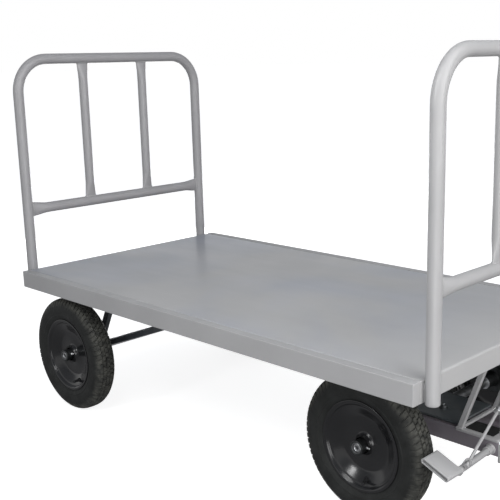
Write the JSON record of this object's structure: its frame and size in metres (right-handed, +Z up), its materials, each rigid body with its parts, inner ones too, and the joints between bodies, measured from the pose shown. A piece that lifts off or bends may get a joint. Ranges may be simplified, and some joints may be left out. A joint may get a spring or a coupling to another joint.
{
  "type": "platform trolley",
  "caption": "Platform trolley with a flat sheet-steel deck, a tube headboard at each end, air tyres, turntable steering with a drawbar, and a foot brake.",
  "frame": {"origin": "on the ground, in the middle of the trolley's overall footprint with the drawbar let down", "axes": "+X towards the drawbar, +Y to the trolley's left, +Z up"},
  "size_m": [2.4457, 0.802, 1.0765],
  "materials": {
    "grey_paint": "satin light grey enamel on tube and folded sheet",
    "shaded_paint": "dull mid grey paint on the parts under the deck",
    "dark_primer": "dark brown-grey paint, slightly dusty",
    "black_enamel": "glossy black enamel on the wheel discs",
    "tyre_rubber": "matt black rubber with a block tread",
    "zinc": "dull zinc on the wheel hubs",
    "bright_steel": "bare or plated steel on pins, axle, spring and collar",
    "grip_rubber": "matt black grip"
  },
  "bodies": {
    "chassis": {"deck_tray": "grey_paint", "side_rail_right": "grey_paint", "side_rail_left": "grey_paint", "cross_member_1": "shaded_paint", "cross_member_2": "shaded_paint", "cross_member_3": "shaded_paint", "cross_member_4": "shaded_paint", "cross_member_5": "shaded_paint", "front_headboard_hoop": "grey_paint", "front_headboard_crossbar": "grey_paint", "front_headboard_bar_right": "grey_paint", "front_headboard_bar_left": "grey_paint", "rear_headboard_hoop": "grey_paint", "rear_headboard_crossbar": "grey_paint", "rear_headboard_bar_right": "grey_paint", "rear_headboard_bar_left": "grey_paint", "rear_axle": "shaded_paint", "rear_axle_leg_right": "dark_primer", "rear_axle_leg_left": "dark_primer", "rear_brace_right": "dark_primer", "rear_brace_left": "dark_primer", "turntable_upper_plate": "shaded_paint", "kingpin": "bright_steel", "kingpin_nut": "bright_steel"},
    "bogie": {"turntable_lower_plate": "shaded_paint", "front_axle": "bright_steel", "bogie_plate": "shaded_paint", "bogie_subframe": "grey_paint", "bogie_beam_right": "dark_primer", "bogie_beam_left": "dark_primer", "bogie_front_strut_right": "grey_paint", "bogie_front_strut_left": "grey_paint", "bogie_rear_strut_right": "grey_paint", "bogie_rear_strut_left": "grey_paint", "drawbar_bracket": "grey_paint", "drawbar_pin": "bright_steel", "brake_boss": "grey_paint", "brake_rod_guide": "grey_paint", "brake_spring": "bright_steel"},
    "drawbar": {"drawbar_tube": "grey_paint", "drawbar_handle": "grey_paint", "handle_grip_right": "grip_rubber", "handle_grip_left": "grip_rubber"},
    "pedal": {"brake_arm": "grey_paint", "brake_shoe": "grey_paint"},
    "rod": {"brake_rod": "grey_paint", "brake_rod_collar": "bright_steel"},
    "wheel_rear_right": {"rear_right_tyre": "tyre_rubber", "rear_right_rim": "black_enamel", "rear_right_hub": "zinc"},
    "wheel_rear_left": {"rear_left_tyre": "tyre_rubber", "rear_left_rim": "black_enamel", "rear_left_hub": "zinc"},
    "wheel_front_right": {"front_right_tyre": "tyre_rubber", "front_right_rim": "black_enamel", "front_right_hub": "zinc"},
    "wheel_front_left": {"front_left_tyre": "tyre_rubber", "front_left_rim": "black_enamel", "front_left_hub": "zinc"}
  },
  "joints": [
    {"name": "steering", "type": "hinge", "parent": "chassis", "child": "bogie", "pos_m": [0.09279, 0, 0.348], "axis": [0, 0, 1], "range_deg": [-90, 90]},
    {"name": "drawbar_lift", "type": "hinge", "parent": "bogie", "child": "drawbar", "pos_m": [0.36679, 0, 0.15], "axis": [0, -1, 0], "range_deg": [0, 50]},
    {"name": "brake_pedal", "type": "hinge", "parent": "bogie", "child": "pedal", "pos_m": [0.30479, -0.087, 0.158], "axis": [0.1521, -0.9827, 0.106], "range_deg": [0, 22], "stiffness_Nm_per_rad": 1.5, "springref_deg": -17.19},
    {"name": "brake_rod_swing", "type": "hinge", "parent": "pedal", "child": "rod", "pos_m": [0.34012, -0.23678, 0.19045], "axis": [0.1977, -0.9656, 0.1688], "range_deg": [-23, 0]},
    {"name": "rear_right_spin", "type": "hinge", "parent": "chassis", "child": "wheel_rear_right", "pos_m": [-0.98491, -0.36, 0.174], "axis": [0, 1, 0], "continuous": true},
    {"name": "rear_left_spin", "type": "hinge", "parent": "chassis", "child": "wheel_rear_left", "pos_m": [-0.98491, 0.36, 0.174], "axis": [0, 1, 0], "continuous": true},
    {"name": "front_right_spin", "type": "hinge", "parent": "bogie", "child": "wheel_front_right", "pos_m": [0.09279, -0.275, 0.174], "axis": [0, 1, 0], "continuous": true},
    {"name": "front_left_spin", "type": "hinge", "parent": "bogie", "child": "wheel_front_left", "pos_m": [0.09279, 0.275, 0.174], "axis": [0, 1, 0], "continuous": true}
  ],
  "couplings": [
    {"joint": "brake_rod_swing", "follows": "brake_pedal", "ratio": -1.0434}
  ]
}
